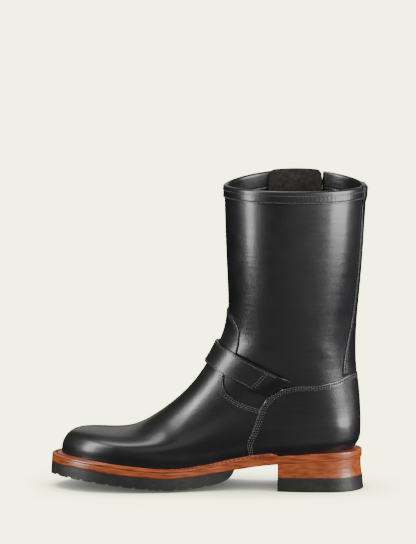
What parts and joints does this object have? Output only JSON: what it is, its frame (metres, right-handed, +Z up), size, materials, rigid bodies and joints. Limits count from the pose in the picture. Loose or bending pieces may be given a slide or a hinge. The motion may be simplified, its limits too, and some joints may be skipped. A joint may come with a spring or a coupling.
{
  "type": "engineer boot",
  "caption": "Right-foot pull-on engineer boot with a tall plain shaft, instep and collar straps, a welted leather sole, a lugged rubber half sole and a stacked heel.",
  "frame": {"origin": "centre of the heel cap's bottom face, on the ground plane", "axes": "-X towards the toe, -Y towards the inner (medial) side, +Z up from the ground to the collar"},
  "size_m": [0.3095, 0.1193, 0.3075],
  "materials": {
    "boot_leather": "smooth, glossy",
    "lining_leather": "rough, unfinished",
    "sole_leather": "burnished",
    "black_rubber": "matt",
    "buckle_metal": "polished nickel plate"
  },
  "bodies": {
    "root": {"upper": "boot_leather", "vamp": "boot_leather", "counter_cover": "boot_leather", "collar_band": "boot_leather", "back_stay": "boot_leather", "instep_strap": "boot_leather", "instep_short_strap": "boot_leather", "instep_keeper": "boot_leather", "collar_strap": "boot_leather", "collar_short_strap": "boot_leather", "collar_keeper": "boot_leather", "gusset": "lining_leather", "insole": "lining_leather", "midsole": "sole_leather", "welt": "sole_leather", "heel_lift_1": "sole_leather", "heel_lift_2": "sole_leather", "heel_lift_3": "sole_leather", "half_sole": "black_rubber", "heel_cap": "black_rubber", "instep_buckle": "buckle_metal", "instep_prong": "buckle_metal", "collar_buckle": "buckle_metal", "collar_prong": "buckle_metal"}
  },
  "joints": []
}
